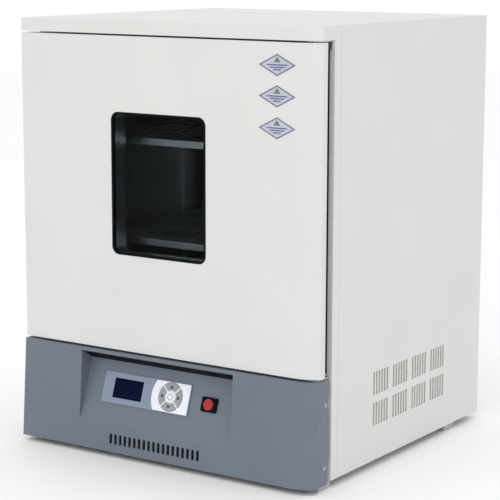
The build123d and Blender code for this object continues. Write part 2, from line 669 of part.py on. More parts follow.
tip = KEY_GAP / sqrt(2)
reach = 2 * KEYPAD_RADIUS
wedge = [(tip, 0), (tip + reach, reach), (tip + reach, -reach)]
for key_name, turn in (("right_key", 0), ("up_key", 90), ("left_key", 180), ("down_key", 270)):
    with BuildPart() as key:
        with BuildSketch(control_face.offset(KEY_Z[0])) as sector:
            with Locations(KEYPAD_CENTRE):
                Polygon(*wedge, rotation=turn, align=None)
                Circle(KEYPAD_RADIUS, mode=Mode.INTERSECT)
                Circle(KEY_HUB_RADIUS + 2 * KEY_CLEARANCE + WEB_RING, mode=Mode.SUBTRACT)
        extrude(amount=KEY_Z[1] - KEY_Z[0])
        chamfer(key.faces().sort_by(face_normal)[-1].edges(), 0.4)
    save(key, key_name)

with BuildPart() as centre_key:
    with BuildSketch(control_face.offset(KEY_Z[0])) as centre_outline:
        with Locations(KEYPAD_CENTRE):
            Circle(KEY_HUB_RADIUS)
    extrude(amount=KEY_Z[1] - KEY_Z[0])
    fillet(centre_key.faces().sort_by(face_normal)[-1].edges(), radius=0.6)
save(centre_key, "centre_key")

BEZEL_THICK = 4.0
BUTTON_Z = (0.6, 6.4)
with BuildPart() as switch_bezel:
    with BuildSketch(control_face) as bezel_outline:
        with Locations(SWITCH_CENTRE):
            RectangleRounded(*SWITCH_SIZE, 2.5)
            Circle(BUTTON_RADIUS + FIT, mode=Mode.SUBTRACT)
    extrude(amount=BEZEL_THICK)
    chamfer(switch_bezel.faces().sort_by(face_normal)[-1].outer_wire().edges(), 1)
save(switch_bezel, "switch_bezel")

with BuildPart() as power_button:
    with BuildSketch(control_face.offset(BUTTON_Z[0])) as button_outline:
        with Locations(SWITCH_CENTRE):
            Circle(BUTTON_RADIUS)
    extrude(amount=BUTTON_Z[1] - BUTTON_Z[0])
    fillet(power_button.faces().sort_by(face_normal)[-1].edges(), radius=1.2)
save(power_button, "power_button")

SWITCH_BODY = (25.0, 22.0)
SWITCH_BODY_DEPTH = 18.0
with BuildPart() as switch_body:
    with BuildSketch(control_face.offset(-RECESS_WALL)) as switch_block:
        with Locations(SWITCH_CENTRE):
            RectangleRounded(*SWITCH_BODY, 2)
    extrude(amount=-SWITCH_BODY_DEPTH)
save(switch_body, "switch_body")

BOARD_THICK = 1.6
CHIP_SIDE = 22.0
TERMINAL_SIZE = (20.0, 10.0)
with BuildPart() as control_board:
    with BuildSketch(control_face.offset(-BOARD_DEPTH)) as board_outline:
        with Locations(BOARD_CENTRE):
            Rectangle(*BOARD_SIZE)
    extrude(amount=-BOARD_THICK)
    with BuildSketch(control_face.offset(-BOARD_DEPTH - BOARD_THICK)) as board_parts:
        with Locations((BOARD_CENTRE[0] - 2 * CHIP_SIDE, BOARD_CENTRE[1]), BOARD_CENTRE):
            Rectangle(CHIP_SIDE, CHIP_SIDE)
        with Locations((BOARD_CENTRE[0] + BOARD_SIZE[0] / 2 - 30, BOARD_CENTRE[1])):
            with GridLocations(0, 1.6 * TERMINAL_SIZE[1], 1, 3):
                Rectangle(*TERMINAL_SIZE)
    extrude(amount=-6)
save(control_board, "control_board")

# ---- power parts on the base -----------------------------------------------------------------
SUPPLY_CENTRE = (-175.0, -64.0)
SUPPLY_SIZE = (110.0, 100.0, 40.0)
RELAY_CENTRE = (95.0, -69.0)
RELAY_SIZE = (70.0, 70.0, 6.0)
FINS = 6
FIN_THICK = 3.0
FIN_HEIGHT = 20.0
pan_floor_z = CABINET_Z + PAN_SHEET
on_floor = (Align.CENTER, Align.CENTER, Align.MIN)

with BuildPart() as power_supply:
    with Locations((*SUPPLY_CENTRE, pan_floor_z)):
        Box(*SUPPLY_SIZE, align=on_floor)
    with BuildSketch(Plane.XY.offset(pan_floor_z + SUPPLY_SIZE[2])) as supply_vents:
        with Locations(SUPPLY_CENTRE):
            with GridLocations(9, 34, 9, 2):
                SlotOverall(26, 4, rotation=90)
    extrude(amount=-6, mode=Mode.SUBTRACT)
save(power_supply, "power_supply")

with BuildPart() as heater_relay:
    with Locations((*RELAY_CENTRE, pan_floor_z)):
        Box(*RELAY_SIZE, align=on_floor)
    with Locations((*RELAY_CENTRE, pan_floor_z + RELAY_SIZE[2])):
        with GridLocations((RELAY_SIZE[0] - FIN_THICK) / (FINS - 1), 0, FINS, 1):
            Box(FIN_THICK, RELAY_SIZE[1], FIN_HEIGHT, align=on_floor)
save(heater_relay, "heater_relay")

INLET_FLANGE = (50.0, 26.0)
INLET_CAVITY = (24.2, 16.4)
INLET_DEPTH = 17.0
BLADE_SIZE = (2.0, 4.0)
BLADE_LENGTH = 10.0
FUSE_CAP_RADIUS = 8.5

with BuildPart() as mains_inlet:
    with BuildSketch(facing_front(BACK_Y)) as inlet_flange:
        with Locations(INLET_CENTRE):
            RectangleRounded(*INLET_FLANGE, 4)
    extrude(amount=BACK_Y - BACK_SHEET_Y[1])
    with BuildSketch(facing_front(BACK_SHEET_Y[1])) as inlet_body:
        with Locations(INLET_CENTRE):
            Rectangle(*INLET_BODY)
    extrude(amount=22)
    with BuildSketch(facing_front(BACK_Y)) as inlet_cavity:
        with Locations(INLET_CENTRE):
            Rectangle(*INLET_CAVITY)
    extrude(amount=INLET_DEPTH, mode=Mode.SUBTRACT)
    with BuildSketch(facing_front(BACK_Y - INLET_DEPTH)) as blades_base:
        with Locations(INLET_CENTRE):
            with Locations((-7, -2), (7, -2), (0, 2)):
                Rectangle(*BLADE_SIZE)
    extrude(amount=-BLADE_LENGTH)
save(mains_inlet, "mains_inlet")

with BuildPart() as fuse_holder:
    with BuildSketch(facing_front(BACK_Y - 0.1)) as fuse_cap:
        with Locations(FUSE_CENTRE):
            Circle(FUSE_CAP_RADIUS)
            Rectangle(12, 1.6, mode=Mode.SUBTRACT)
    extrude(amount=BACK_Y - 0.1 - BACK_SHEET_Y[1])
    with BuildSketch(facing_front(BACK_SHEET_Y[1])) as fuse_body:
        with Locations(FUSE_CENTRE):
            Circle(FUSE_RADIUS)
    extrude(amount=32)
save(fuse_holder, "fuse_holder")

# ---- feet --------------------------------------------------------------------------------------
FOOT_BORE = 3.2
FOOT_COUNTERBORE = (7.0, 5.0)
FOOT_SCREW_HEAD = (6.0, 3.5)
FOOT_SCREW_LENGTH = 18.0
for side_name, side in (("left", -1), ("right", 1)):
    for place, foot_y in FOOT_Y.items():
        with BuildPart() as foot:
            with BuildSketch(Plane.XY) as foot_outline:
                with Locations((side * FOOT_X, foot_y)):
                    RectangleRounded(*FOOT_SIZE, 3)
            extrude(amount=CABINET_Z)
            chamfer(foot.faces().sort_by(Axis.Z)[0].edges(), 1)
            with Locations((side * FOOT_X, foot_y, 0)):
                with Locations(Location((0, 0, 0), (180, 0, 0))):
                    CounterBoreHole(FOOT_BORE, *FOOT_COUNTERBORE)
        save(foot, f"{place}_{side_name}_foot")

with BuildPart() as foot_screws:
    for foot_y in FOOT_Y.values():
        for side in (-1, 1):
            with Locations((side * FOOT_X, foot_y, FOOT_COUNTERBORE[1] - FOOT_SCREW_HEAD[1])):
                Cylinder(*FOOT_SCREW_HEAD, align=on_floor)
                Cylinder(PIN_RADIUS, FOOT_SCREW_LENGTH, align=on_floor)
save(foot_screws, "foot_screws")

# ---- door --------------------------------------------------------------------------------------
BUSH_RADIUS = 6.0
BUSH_LENGTH = 15.0
BUSH_END = 1.5            # closed end of each bush
PAN_FLANGE_Y = (FRONT_Y + DOOR_SKIN_DEPTH - SHEET, FRONT_Y + DOOR_SKIN_DEPTH)
RAISED_X = 272.0
RAISED_Z = (194.0, 684.0)
FILL_INSET = 4.0          # the filling stops this far inside the raised pan's edges
TUNNEL_WALL = 2.0
TUNNEL_Y = (FRONT_Y + SHEET, DOOR_PAN_Y + 5)

with BuildPart() as door_outer_skin:
    extrude(plan_section(DOOR_Z, FRONT_Y, PAN_FLANGE_Y[1]), amount=DOOR_TOP_Z - DOOR_Z)
    extrude(
        plan_section(DOOR_Z + SHEET, FRONT_Y, PAN_FLANGE_Y[1] + 1, inset=SHEET),
        amount=DOOR_TOP_Z - DOOR_Z - 2 * SHEET, mode=Mode.SUBTRACT,
    )
    extrude(window_outline(facing_front(FRONT_Y + 2 * SHEET)), amount=3 * SHEET, mode=Mode.SUBTRACT)
    with Locations((HINGE_X, HINGE_Y, DOOR_Z), (HINGE_X, HINGE_Y, DOOR_TOP_Z)):
        Cylinder(BUSH_RADIUS, 4 * SHEET, mode=Mode.SUBTRACT)
save(door_outer_skin, "door_outer_skin")

with BuildPart() as door_inner_pan:
    pan_edge = HALF_W - SHEET - FIT
    block((-pan_edge, pan_edge), PAN_FLANGE_Y, (DOOR_Z + SHEET + FIT, DOOR_TOP_Z - SHEET - FIT))
    block((-RAISED_X, RAISED_X), (PAN_FLANGE_Y[1], DOOR_PAN_Y), RAISED_Z)
    block(
        (-RAISED_X + SHEET, RAISED_X - SHEET), (PAN_FLANGE_Y[0], DOOR_PAN_Y - SHEET),
        (RAISED_Z[0] + SHEET, RAISED_Z[1] - SHEET), mode=Mode.SUBTRACT,
    )
    extrude(
        window_outline(facing_front(DOOR_PAN_Y), grow=TUNNEL_WALL), amount=DOOR_PAN_Y - FRONT_Y,
        mode=Mode.SUBTRACT,
    )
save(door_inner_pan, "door_inner_pan")

with BuildPart() as door_insulation:
    block(
        (FILL_INSET - RAISED_X, CORNER_X), (FRONT_Y + SHEET, DOOR_PAN_Y - SHEET),
        (RAISED_Z[0] + FILL_INSET, RAISED_Z[1] - FILL_INSET),
    )
    extrude(
        window_outline(facing_front(DOOR_PAN_Y), grow=TUNNEL_WALL), amount=DOOR_PAN_Y - FRONT_Y,
        mode=Mode.SUBTRACT,
    )
save(door_insulation, "door_insulation")

with BuildPart() as window_tunnel:
    tunnel_depth = TUNNEL_Y[1] - TUNNEL_Y[0]
    extrude(window_outline(facing_front(TUNNEL_Y[1]), grow=TUNNEL_WALL), amount=tunnel_depth)
    extrude(window_outline(facing_front(TUNNEL_Y[1])), amount=tunnel_depth, mode=Mode.SUBTRACT)
save(window_tunnel, "window_tunnel")

GASKET_WIDTH = 4.0
OUTER_GLASS_Y = (FRONT_Y + 5, FRONT_Y + 9)
INNER_GLASS_Y = (DOOR_PAN_Y, DOOR_PAN_Y + 4)
with BuildPart() as window_gasket:
    gasket_depth = OUTER_GLASS_Y[0] - FRONT_Y + 0.3
    extrude(window_outline(facing_front(OUTER_GLASS_Y[0])), amount=gasket_depth)
    extrude(
        window_outline(facing_front(OUTER_GLASS_Y[0]), grow=-GASKET_WIDTH), amount=gasket_depth,
        mode=Mode.SUBTRACT,
    )
save(window_gasket, "window_gasket")

for glass_name, glass_y in (("outer_glass", OUTER_GLASS_Y), ("inner_glass", INNER_GLASS_Y)):
    with BuildPart() as glass:
        extrude(window_outline(facing_front(glass_y[1]), grow=-FIT / 2), amount=glass_y[1] - glass_y[0])
    save(glass, glass_name)

SEAL_X = (250.0, 270.0)
SEAL_Z = (198.0, 682.0)
SEAL_WIDTH = 20.0
with BuildPart() as door_seal:
    seal_y = (DOOR_PAN_Y, FLANGE_Y - FIT)
    block((-SEAL_X[1], SEAL_X[1]), seal_y, SEAL_Z)
    block(
        (-SEAL_X[0], SEAL_X[0]), seal_y, (SEAL_Z[0] + SEAL_WIDTH, SEAL_Z[1] - SEAL_WIDTH),
        mode=Mode.SUBTRACT,
    )
    fillet(door_seal.faces().sort_by(Axis.Y)[-1].edges(), radius=3)
save(door_seal, "door_seal")

LABEL_X = 216.5
LABEL_Z = (661.0, 613.8, 565.5)
LABEL_HALF = (33.5, 17.0)
LABEL_THICK = 0.4
with BuildPart() as label_plates:
    with BuildSketch(facing_front(FRONT_Y)) as diamonds:
        for label_z in LABEL_Z:
            with Locations((LABEL_X, label_z)):
                Polygon(
                    (LABEL_HALF[0], 0), (0, LABEL_HALF[1]), (-LABEL_HALF[0], 0), (0, -LABEL_HALF[1]),
                    align=None,
                )
    extrude(amount=LABEL_THICK)
save(label_plates, "label_plates")

with BuildPart() as hinge_bushes:
    with Locations((HINGE_X, HINGE_Y, DOOR_Z), (HINGE_X, HINGE_Y, DOOR_TOP_Z - BUSH_LENGTH)):
        Cylinder(BUSH_RADIUS, BUSH_LENGTH, align=on_floor)
    with Locations((HINGE_X, HINGE_Y, DOOR_Z), (HINGE_X, HINGE_Y, DOOR_TOP_Z - BUSH_LENGTH + BUSH_END)):
        Cylinder(
            PIN_RADIUS + RUNNING_GAP, BUSH_LENGTH - BUSH_END, align=on_floor, mode=Mode.SUBTRACT
        )
save(hinge_bushes, "hinge_bushes")

# ---- hinges: a plate with a leg on the flange, and a pin into the door ---------------------------
HINGE_PLATE_X = (262.0, 286.0)
HINGE_PLATE_Y = (HINGE_Y - 6, FLANGE_Y)
HINGE_LEG = 2.5
PIN_LENGTH = 14.0
LOWER_PLATE_Z = (PANEL_TOP_Z, PANEL_TOP_Z + 2)
UPPER_PLATE_Z = (HOOD_Z - 2, HOOD_Z)

with BuildPart() as lower_hinge:
    block(HINGE_PLATE_X, HINGE_PLATE_Y, LOWER_PLATE_Z)
    block(HINGE_PLATE_X, (FLANGE_Y - HINGE_LEG, FLANGE_Y), (MOUTH_Z[0] - RAIL, LOWER_PLATE_Z[0]))
    with Locations((HINGE_X, HINGE_Y, LOWER_PLATE_Z[1])):
        Cylinder(PIN_RADIUS, PIN_LENGTH, align=on_floor)
save(lower_hinge, "lower_hinge")

with BuildPart() as upper_hinge:
    block(HINGE_PLATE_X, HINGE_PLATE_Y, UPPER_PLATE_Z)
    block(HINGE_PLATE_X, (FLANGE_Y - HINGE_LEG, FLANGE_Y), (MOUTH_Z[1], UPPER_PLATE_Z[0]))
    with Locations((HINGE_X, HINGE_Y, UPPER_PLATE_Z[0])):
        Cylinder(PIN_RADIUS, PIN_LENGTH, align=(Align.CENTER, Align.CENTER, Align.MAX))
save(upper_hinge, "upper_hinge")
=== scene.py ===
import json
import math

import bmesh
import bpy
from mathutils import Euler, Matrix, Vector


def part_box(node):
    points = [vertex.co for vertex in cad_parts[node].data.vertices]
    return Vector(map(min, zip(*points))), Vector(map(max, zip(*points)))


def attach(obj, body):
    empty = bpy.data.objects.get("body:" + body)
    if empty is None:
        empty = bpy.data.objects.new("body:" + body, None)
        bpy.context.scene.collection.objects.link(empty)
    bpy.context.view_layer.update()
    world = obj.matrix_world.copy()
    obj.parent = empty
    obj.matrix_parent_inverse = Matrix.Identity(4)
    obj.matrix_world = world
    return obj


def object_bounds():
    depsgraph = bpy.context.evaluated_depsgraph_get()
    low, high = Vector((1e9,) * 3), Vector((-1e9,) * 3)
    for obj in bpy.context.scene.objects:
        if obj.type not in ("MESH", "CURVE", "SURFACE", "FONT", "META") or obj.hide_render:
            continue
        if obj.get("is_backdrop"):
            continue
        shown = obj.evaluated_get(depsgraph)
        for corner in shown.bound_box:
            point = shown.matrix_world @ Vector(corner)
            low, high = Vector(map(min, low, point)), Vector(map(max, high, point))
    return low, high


# Looks for a benchtop laboratory incubator: powder-coated cabinet and door, stainless chamber,
# moulded grey control panel. Metres, in the CAD frame: -Y is the front, +Z is up.

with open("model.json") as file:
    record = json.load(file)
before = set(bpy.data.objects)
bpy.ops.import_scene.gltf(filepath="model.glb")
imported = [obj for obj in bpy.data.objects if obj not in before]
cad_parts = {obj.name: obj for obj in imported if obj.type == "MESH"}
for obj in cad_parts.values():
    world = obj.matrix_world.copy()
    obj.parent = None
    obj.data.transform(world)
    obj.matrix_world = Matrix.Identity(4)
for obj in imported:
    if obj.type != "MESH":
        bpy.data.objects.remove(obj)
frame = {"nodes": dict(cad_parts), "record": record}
cad_low, cad_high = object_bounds()
nodes = frame["nodes"]


# ---- outlines: lists of 2-D points about the origin ----------------------------------------
def circle_points(radius, count=48):
    step = 2 * math.pi / count
    return [(radius * math.cos(i * step), radius * math.sin(i * step)) for i in range(count)]


def rounded_points(width, height, radius, steps=8):
    """A rectangle whose corners are arcs of so many steps."""
    points = []
    corners = ((1, 1, 0), (-1, 1, 90), (-1, -1, 180), (1, -1, 270))
    for sx, sy, start in corners:
        cx = sx * (width / 2 - radius)
        cy = sy * (height / 2 - radius)
        for i in range(steps + 1):
            angle = math.radians(start + 90 * i / steps)
            points.append((cx + radius * math.cos(angle), cy + radius * math.sin(angle)))
    return points


def bar_points(width, height, rise=0.0):
    """A plain rectangle, moved up by rise."""
    x = width / 2
    y = height / 2
    return [(x, rise + y), (-x, rise + y), (-x, rise - y), (x, rise - y)]


def scaled(points, factor, rise=0.0):
    return [(x * factor, y * factor + rise) for x, y in points]


# ---- solids from outlines ------------------------------------------------------------------
def outline_verts(bm, outline, place, height):
    """The outline's vertices, at a height along the place's own Z."""
    return [bm.verts.new(place @ Vector((x, y, height))) for x, y in outline]


def add_prism(bm, outline, place, depth):
    """A flat outline, raised by depth along the place's own Z."""
    low = outline_verts(bm, outline, place, 0.0)
    high = outline_verts(bm, outline, place, depth)
    bm.faces.new(list(reversed(low)))
    bm.faces.new(high)
    count = len(outline)
    for i in range(count):
        j = (i + 1) % count
        bm.faces.new((low[i], low[j], high[j], high[i]))


def add_frame(bm, outer, inner, place, depth):
    """A flat border between two outlines with the same number of points, raised by depth."""
    outer_low, inner_low, outer_high, inner_high = (
        outline_verts(bm, outline, place, height)
        for height in (0.0, depth)
        for outline in (outer, inner)
    )
    walls = (
        (outer_low, inner_low),
        (outer_high, inner_high),
        (outer_low, outer_high),
        (inner_low, inner_high),
    )
    count = len(outer)
    for i in range(count):
        j = (i + 1) % count
        for a, b in walls:
            bm.faces.new((a[i], a[j], b[j], b[i]))


def mesh_object(name, bm, material):
    """Turn a bmesh into an object with one material."""
    bmesh.ops.recalc_face_normals(bm, faces=bm.faces)
    mesh = bpy.data.meshes.new(name)
    bm.to_mesh(mesh)
    bm.free()
    obj = bpy.data.objects.new(name, mesh)
    bpy.context.scene.collection.objects.link(obj)
    mesh.materials.append(material)
    return obj


def piece(name, bm, material, body):
    """A detail that moves with one CAD body, in the material it is given."""
    obj = mesh_object(name, bm, material)
    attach(obj, body)
    return obj


def front_plane(x, y, z):
    """A place whose local X is +X, local Y is +Z and local Z points to the front."""
    turn = Matrix(((1, 0, 0), (0, 0, -1), (0, 1, 0))).to_4x4()
    return Matrix.Translation((x, y, z)) @ turn


def side_plane(x, y, z):
    """A place whose local X is +Y, local Y is +Z and local Z is +X."""
    turn = Matrix(((0, 0, 1), (1, 0, 0), (0, 1, 0))).to_4x4()
    return Matrix.Translation((x, y, z)) @ turn


# ---- material helpers ----------------------------------------------------------------------
NOISE_RANGE = (0.3, 0.7)    # the part of the noise's output that is spread over a variation
FINE_BUMP = 0.0004


def new_material(name, colour, roughness, metallic=0.0, **sockets):
    """A principled material; further sockets are given by name, with _ for a space."""
    mat = bpy.data.materials.new(name)
    mat.use_nodes = True
    shader = mat.node_tree.nodes["Principled BSDF"]
    shader.inputs["Base Color"].default_value = (*colour, 1)
    shader.inputs["Roughness"].default_value = roughness
    shader.inputs["Metallic"].default_value = metallic
    for socket, value in sockets.items():
        shader.inputs[socket.replace("_", " ")].default_value = value
    return mat


def feed(mat, output, socket):
    """Link an output to a socket of the material's shader."""
    tree = mat.node_tree
    tree.links.new(output, tree.nodes["Principled BSDF"].inputs[socket])


def noise(mat, scale, detail, stretch=(1, 1, 1)):
    """Noise on object coordinates; returns its factor output."""
    tree = mat.node_tree
    coords = tree.nodes.new("ShaderNodeTexCoord")
    mapping = tree.nodes.new("ShaderNodeMapping")
    mapping.inputs["Scale"].default_value = stretch
    texture = tree.nodes.new("ShaderNodeTexNoise")
    texture.inputs["Scale"].default_value = scale
    texture.inputs["Detail"].default_value = detail
    tree.links.new(coords.outputs["Object"], mapping.inputs["Vector"])
    tree.links.new(mapping.outputs["Vector"], texture.inputs["Vector"])
    return texture.outputs["Fac"]


def vary_roughness(mat, factor, low, high):
    tree = mat.node_tree
    remap = tree.nodes.new("ShaderNodeMapRange")
    remap.inputs["From Min"].default_value = NOISE_RANGE[0]
    remap.inputs["From Max"].default_value = NOISE_RANGE[1]
    remap.inputs["To Min"].default_value = low
    remap.inputs["To Max"].default_value = high
    tree.links.new(factor, remap.inputs["Value"])
    feed(mat, remap.outputs["Result"], "Roughness")


def tint(mat, factor, dark, light):
    """Vary the base colour between two colours."""
    tree = mat.node_tree
    ramp = tree.nodes.new("ShaderNodeValToRGB")
    for element, position, colour in zip(ramp.color_ramp.elements, NOISE_RANGE, (dark, light)):
        element.position = position
        element.color = (*colour, 1)
    tree.links.new(factor, ramp.inputs["Fac"])
    feed(mat, ramp.outputs["Color"], "Base Color")


def bump(mat, factor, strength, distance):
    tree = mat.node_tree
    node = tree.nodes.new("ShaderNodeBump")
    node.inputs["Strength"].default_value = strength
    node.inputs["Distance"].default_value = distance
    tree.links.new(factor, node.inputs["Height"])
    feed(mat, node.outputs["Normal"], "Normal")


def shade(colour, factor):
    return tuple(min(1.0, c * factor) for c in colour)


# ---- kinds of surface ----------------------------------------------------------------------
def powder_coat(name, colour, roughness=0.42):
    mat = new_material(name, colour, roughness, Coat_Weight=0.15, Coat_Roughness=0.25)
    tint(mat, noise(mat, 7, 3), shade(colour, 0.975), shade(colour, 1.01))
    vary_roughness(mat, noise(mat, 160, 2), roughness - 0.05, roughness + 0.07)
    bump(mat, noise(mat, 900, 2), 0.06, FINE_BUMP)
    return mat


def mottled(name, colour, roughness, **sockets):
    """A smooth surface whose colour and roughness vary a little."""
    mat = new_material(name, colour, roughness, **sockets)
    tint(mat, noise(mat, 9, 4), shade(colour, 0.94), shade(colour, 1.05))
    vary_roughness(mat, noise(mat, 70, 3), roughness - 0.06, roughness + 0.08)
    return mat


def moulded(name, colour, roughness=0.5, grain=1400, depth=0.12, **sockets):
    """Plastic, rubber or print: mottled, with a fine grain in the bump."""
    mat = mottled(name, colour, roughness, **sockets)
    bump(mat, noise(mat, grain, 3), depth, FINE_BUMP)
    return mat


def woven_painted_light(name, colour, **sockets):
    """Sheets of painted shade and painted light behind vents: crossing waves in the bump over a
    mottled colour.
    """
    mat = mottled(name, colour, 0.7, **sockets)
    tree = mat.node_tree
    coords = tree.nodes.new("ShaderNodeTexCoord")
    cross = tree.nodes.new("ShaderNodeMath")
    cross.operation = "ADD"
    for i, direction in enumerate(("Y", "Z")):
        wave = tree.nodes.new("ShaderNodeTexWave")
        wave.bands_direction = direction
        wave.inputs["Scale"].default_value = 320
        tree.links.new(coords.outputs["Object"], wave.inputs["Vector"])
        tree.links.new(wave.outputs["Fac"], cross.inputs[i])
    bump(mat, cross.outputs["Value"], 0.5, FINE_BUMP)
    return mat


def brushed(name, colour, roughness, stretch):
    """Metal whose brushing runs along the axes that are stretched least."""
    mat = new_material(name, colour, roughness, metallic=1.0)
    streaks = noise(mat, 6, 6, stretch)
    tint(mat, streaks, shade(colour, 0.86), shade(colour, 1.06))
    vary_roughness(mat, streaks, roughness - 0.08, roughness + 0.12)
    bump(mat, noise(mat, 9, 6, stretch), 0.04, 0.0003)
    return mat


def display(name, colour, roughness, grain, dark, light):
    """The smooth face of an unlit liquid-crystal display."""
    mat = new_material(name, colour, roughness, Specular_IOR_Level=0.03)
    tint(mat, noise(mat, *grain), dark, light)
    return mat


# ---- materials -----------------------------------------------------------------------------
WHITE = (0.665, 0.665, 0.65)
GREY = (0.135, 0.160, 0.203)
STEEL = (0.50, 0.505, 0.51)
# a brighter copy of the stainless: painted light on the shelves and the window tunnel
PAINTED_LIGHT_STEEL = shade(STEEL, 1.7)
SKIN_GRAIN = 2200
LABEL_GRAIN = 2500

white_coat = powder_coat("white_powder_coat", WHITE)
grey_panel = moulded("grey_moulding", GREY, 0.46)
stainless = brushed("brushed_stainless", STEEL, 0.30, (3, 3, 900))
shelf_steel = brushed("shelf_stainless", PAINTED_LIGHT_STEEL, 0.50, (900, 4, 4))
tunnel_steel = brushed("tunnel_stainless", PAINTED_LIGHT_STEEL, 0.34, (3, 3, 900))
zinc = brushed("zinc_sheet", (0.55, 0.56, 0.58), 0.42, (18, 18, 18))
black_plastic = moulded("black_plastic", (0.009, 0.009, 0.010), 0.48, Specular_IOR_Level=0.2)
# near-black; on the recess trim this is painted shade under the recess's top lip, on the switch
# bezel and window gasket it is their own black
deep_black = moulded("deep_black_plastic_and_painted_shade", (0.003, 0.004, 0.006), 0.5, Specular_IOR_Level=0.06)
soft_black = moulded("soft_black_rubber", (0.022, 0.022, 0.023), 0.62, 500, 0.2)
foot_rubber = moulded("grey_foot_rubber", (0.40, 0.405, 0.40), 0.7, 500, 0.25)
wool = moulded("mineral_wool", (0.62, 0.56, 0.38), 0.95, 90, 1.0)
plate_skin = moulded("membrane_blue_grey", (0.215, 0.262, 0.350), 0.42, SKIN_GRAIN, 0.05)
pad_skin = moulded("membrane_white", (0.78, 0.81, 0.86), 0.36, SKIN_GRAIN, 0.05)
key_skin = moulded("key_grey", (0.30, 0.30, 0.335), 0.4, SKIN_GRAIN, 0.05)
print_dark = moulded("printed_dark", (0.03, 0.035, 0.04), 0.45, SKIN_GRAIN, 0.03)
lcd_skin = display(
    "lcd_glass", (0.004, 0.008, 0.04), 0.2, (30, 2), (0.001, 0.003, 0.015), (0.002, 0.004, 0.020)
)
lcd_cells = display(
    "lcd_cells", (0.006, 0.014, 0.06), 0.25, (900, 1), (0.001, 0.003, 0.018), (0.003, 0.007, 0.034)
)
red_cap = moulded("red_button", (0.38, 0.013, 0.019), 0.35, 1500, 0.03)
screw_metal = brushed("plated_screw", (0.60, 0.60, 0.60), 0.30, (60, 60, 60))
alloy = brushed("cast_aluminium", (0.66, 0.67, 0.68), 0.4, (30, 30, 30))
board_green = moulded("solder_mask", (0.015, 0.13, 0.05), 0.35, 600, 0.1)
label_fill = moulded("label_violet", (0.47, 0.475, 0.60), 0.35, LABEL_GRAIN, 0.03)
label_edge = moulded("label_border", (0.15, 0.165, 0.15), 0.4, LABEL_GRAIN, 0.03)
label_ink = moulded("label_ink", (0.11, 0.11, 0.20), 0.45, LABEL_GRAIN, 0.03)
label_sign = moulded("label_sign", (0.16, 0.17, 0.10), 0.4, LABEL_GRAIN, 0.03)
# the near-black woven sheet is painted shade behind the panel's front vents
painted_vent_shade = woven_painted_light("painted_vent_shade", (0.006, 0.007, 0.009), Specular_IOR_Level=0.1)
# the pale woven sheet is painted light seen through the side slots
painted_slot_light = woven_painted_light("painted_slot_light", (0.50, 0.50, 0.48))

# the glass is tinted grey as painted shade, so that the chamber behind it looks dark
glass = new_material("window_glass", (0.66, 0.69, 0.70), 0.02, Transmission_Weight=1.0, IOR=1.08)
vary_roughness(glass, noise(glass, 14, 2), 0.0, 0.035)

SLOT_LOOK = {
    "white_paint": white_coat,
    "zinc_steel": zinc,
    "stainless": stainless,
    "black_plastic": black_plastic,
    "insulation": wool,
    "grey_plastic": grey_panel,
    "plate_blue_grey": plate_skin,
    "pad_white": pad_skin,
    "lcd": lcd_skin,
    "key_grey": key_skin,
    "key_white": pad_skin,
    "red_plastic": red_cap,
    "seal_rubber": soft_black,
    "foot_grey": foot_rubber,
    "glass": glass,
    "screw_steel": screw_metal,
    "circuit_board": board_green,
    "aluminium": alloy,
    "label_violet": label_fill,
}
# nodes that look different from the rest of their slot
OWN_LOOK = {
    # the shelves and the window tunnel take the brighter steel as painted light
    "upper_shelf": shelf_steel,
    "lower_shelf": shelf_steel,
    "window_tunnel": tunnel_steel,
    # the recess trim is near-black as painted shade on the ceiling under the recess's top lip
    "recess_trim": deep_black,
    "switch_bezel": deep_black,
    "window_gasket": deep_black,
}

for part in frame["record"]["subparts"]:
    obj = nodes[part["node"]]
    look = OWN_LOOK.get(part["node"], SLOT_LOOK[part["material_slot"]])
    obj.data.materials.clear()
    obj.data.materials.append(look)

# ---- label plates: a border, a sign and three plain lines on each --------------------------
LABEL_SINK = 0.0001         # the prints start this far inside the plate
EDGE_TOLERANCE = 0.0002
BORDER_OUTER = 0.985        # the border's edges as shares of the plate
BORDER_INNER = 0.86
BORDER_DEPTH = 0.00025
SIGN_SIZE = 0.0088
SIGN_RISE = 0.44            # share of the plate's half height
SIGN_DEPTH = 0.00022
SIGN_TRIANGLE = [(0, 0.6), (-0.72, -0.4), (0.72, -0.4)]
LINE_WIDTHS = (0.037, 0.026, 0.014)
LINE_HEIGHT = 0.0019
LINE_PITCH = 0.0037
LINE_RISE = 0.0002          # the uppermost line, above the plate's middle
LINE_DEPTH = 0.0002

low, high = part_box("label_plates")
plates = nodes["label_plates"]
corners = [plates.matrix_world @ v.co for v in plates.data.vertices]
# one row for each plate's left corner
label_rows = sorted({round(p.z, 4) for p in corners if p.x < low[0] + EDGE_TOLERANCE})
label_x = (low[0] + high[0]) / 2
half_w = (high[0] - low[0]) / 2
half_h = high[2] - label_rows[-1]
diamond = [(half_w, 0), (0, half_h), (-half_w, 0), (0, -half_h)]
sign = scaled(SIGN_TRIANGLE, SIGN_SIZE, half_h * SIGN_RISE)
for i, row in enumerate(label_rows):
    place = front_plane(label_x, low[1] + LABEL_SINK, row)
    bm = bmesh.new()
    add_frame(bm, scaled(diamond, BORDER_OUTER), scaled(diamond, BORDER_INNER), place, BORDER_DEPTH)
    piece(f"label_border_{i}", bm, label_edge, "door")
    bm = bmesh.new()
    add_prism(bm, sign, place, SIGN_DEPTH)
    piece(f"label_sign_{i}", bm, label_sign, "door")
    bm = bmesh.new()
    for line, width in enumerate(LINE_WIDTHS):
        outline = bar_points(width, LINE_HEIGHT, LINE_RISE - LINE_PITCH * line)
        add_prism(bm, outline, place, LINE_DEPTH)
    piece(f"label_lines_{i}", bm, label_ink, "door")

